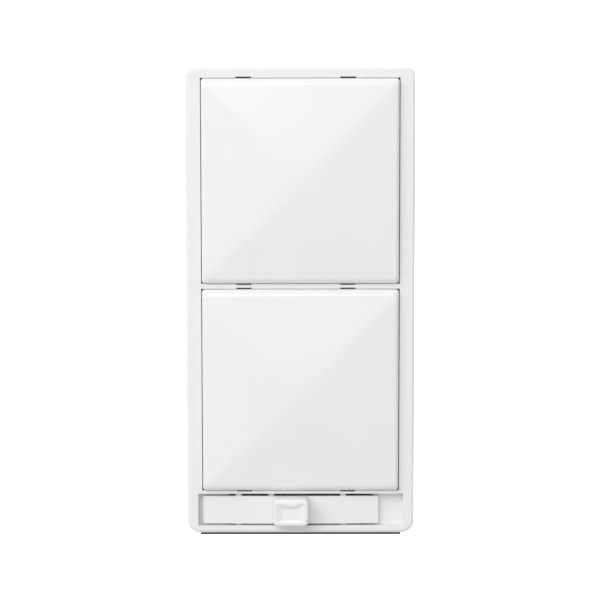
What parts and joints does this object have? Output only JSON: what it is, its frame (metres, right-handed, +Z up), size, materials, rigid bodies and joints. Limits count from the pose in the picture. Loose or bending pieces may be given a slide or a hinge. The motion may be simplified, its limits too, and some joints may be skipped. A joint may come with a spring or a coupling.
{
  "type": "dimmer slide switch",
  "caption": "White wall dimmer module with square rocking keys over a short horizontal slide, in a decorator-size bezel with a snap-in rear housing.",
  "frame": {"origin": "middle of the bezel's flat rear rim, the plane that seats on its support", "axes": "+Z up along the face, the face looks along -Y, +X to the right of someone facing it, +Y into the wall box"},
  "size_m": [0.0326, 0.0337, 0.0666],
  "materials": {
    "board_laminate": "glass epoxy laminate with solder mask",
    "can_aluminium": "drawn can",
    "carrier_plastic": "moulded, matt white",
    "choke_copper": "enamelled copper wire",
    "contact_brass": "bright",
    "dome_silicone": "moulded silicone",
    "ferrite": "sintered ferrite, matt",
    "frame_plastic": "moulded, glossy white",
    "fuse_ceramic": "glazed",
    "housing_plastic": "moulded, matt black",
    "insulator_sheet": "filled silicone sheet",
    "key_plastic": "moulded, glossy white",
    "part_plastic_black": "moulded",
    "part_plastic_blue": "moulded",
    "part_plastic_yellow": "moulded",
    "pin_steel": "drawn",
    "slide_plastic": "moulded, satin white",
    "spreader_aluminium": "mill finish",
    "spring_steel": "rolled strip",
    "varistor_lacquer": "dipped lacquer",
    "zinc_screw_steel": "zinc plated"
  },
  "bodies": {
    "housing": {"bezel_frame": "frame_plastic", "board_header": "part_plastic_black", "carrier_screws": "zinc_screw_steel", "choke_core": "ferrite", "choke_turns": "choke_copper", "control_board": "board_laminate", "control_chip": "part_plastic_black", "film_capacitor": "part_plastic_yellow", "fuse_link": "fuse_ceramic", "heat_spreader": "spreader_aluminium", "insulating_sheet": "insulator_sheet", "key_carrier": "carrier_plastic", "load_relay": "part_plastic_blue", "lower_key_domes": "dome_silicone", "lower_key_pin": "pin_steel", "power_board": "board_laminate", "rear_housing": "housing_plastic", "reservoir_capacitor": "can_aluminium", "side_spring_clips": "spring_steel", "slide_pot_body": "part_plastic_black", "surge_varistor": "varistor_lacquer", "terminal_clamps": "contact_brass", "terminal_screws": "zinc_screw_steel", "triac_screws": "zinc_screw_steel", "triacs": "part_plastic_black", "upper_key_domes": "dome_silicone", "upper_key_pin": "pin_steel"},
    "upper_key": {"upper_key": "key_plastic"},
    "lower_key": {"lower_key": "key_plastic"},
    "slider": {"slide_strip": "slide_plastic", "slide_knob": "slide_plastic", "slide_carriage": "carrier_plastic", "slide_pot_lever": "pin_steel", "pot_wiper": "contact_brass"}
  },
  "joints": [
    {"name": "upper_key_rock", "type": "hinge", "parent": "housing", "child": "upper_key", "pos_m": [0, -0.0044, 0.01718], "axis": [1, 0, 0], "range_deg": [-2.8, 2.8], "stiffness_Nm_per_rad": 0.6, "deforming": ["upper_key_domes"]},
    {"name": "lower_key_rock", "type": "hinge", "parent": "housing", "child": "lower_key", "pos_m": [0, -0.0044, -0.01262], "axis": [1, 0, 0], "range_deg": [-2.8, 2.8], "stiffness_Nm_per_rad": 0.6, "deforming": ["lower_key_domes"]},
    {"name": "slide_travel", "type": "slide", "parent": "housing", "child": "slider", "axis": [1, 0, 0], "range_m": [-0.0006, 0.0034]}
  ]
}
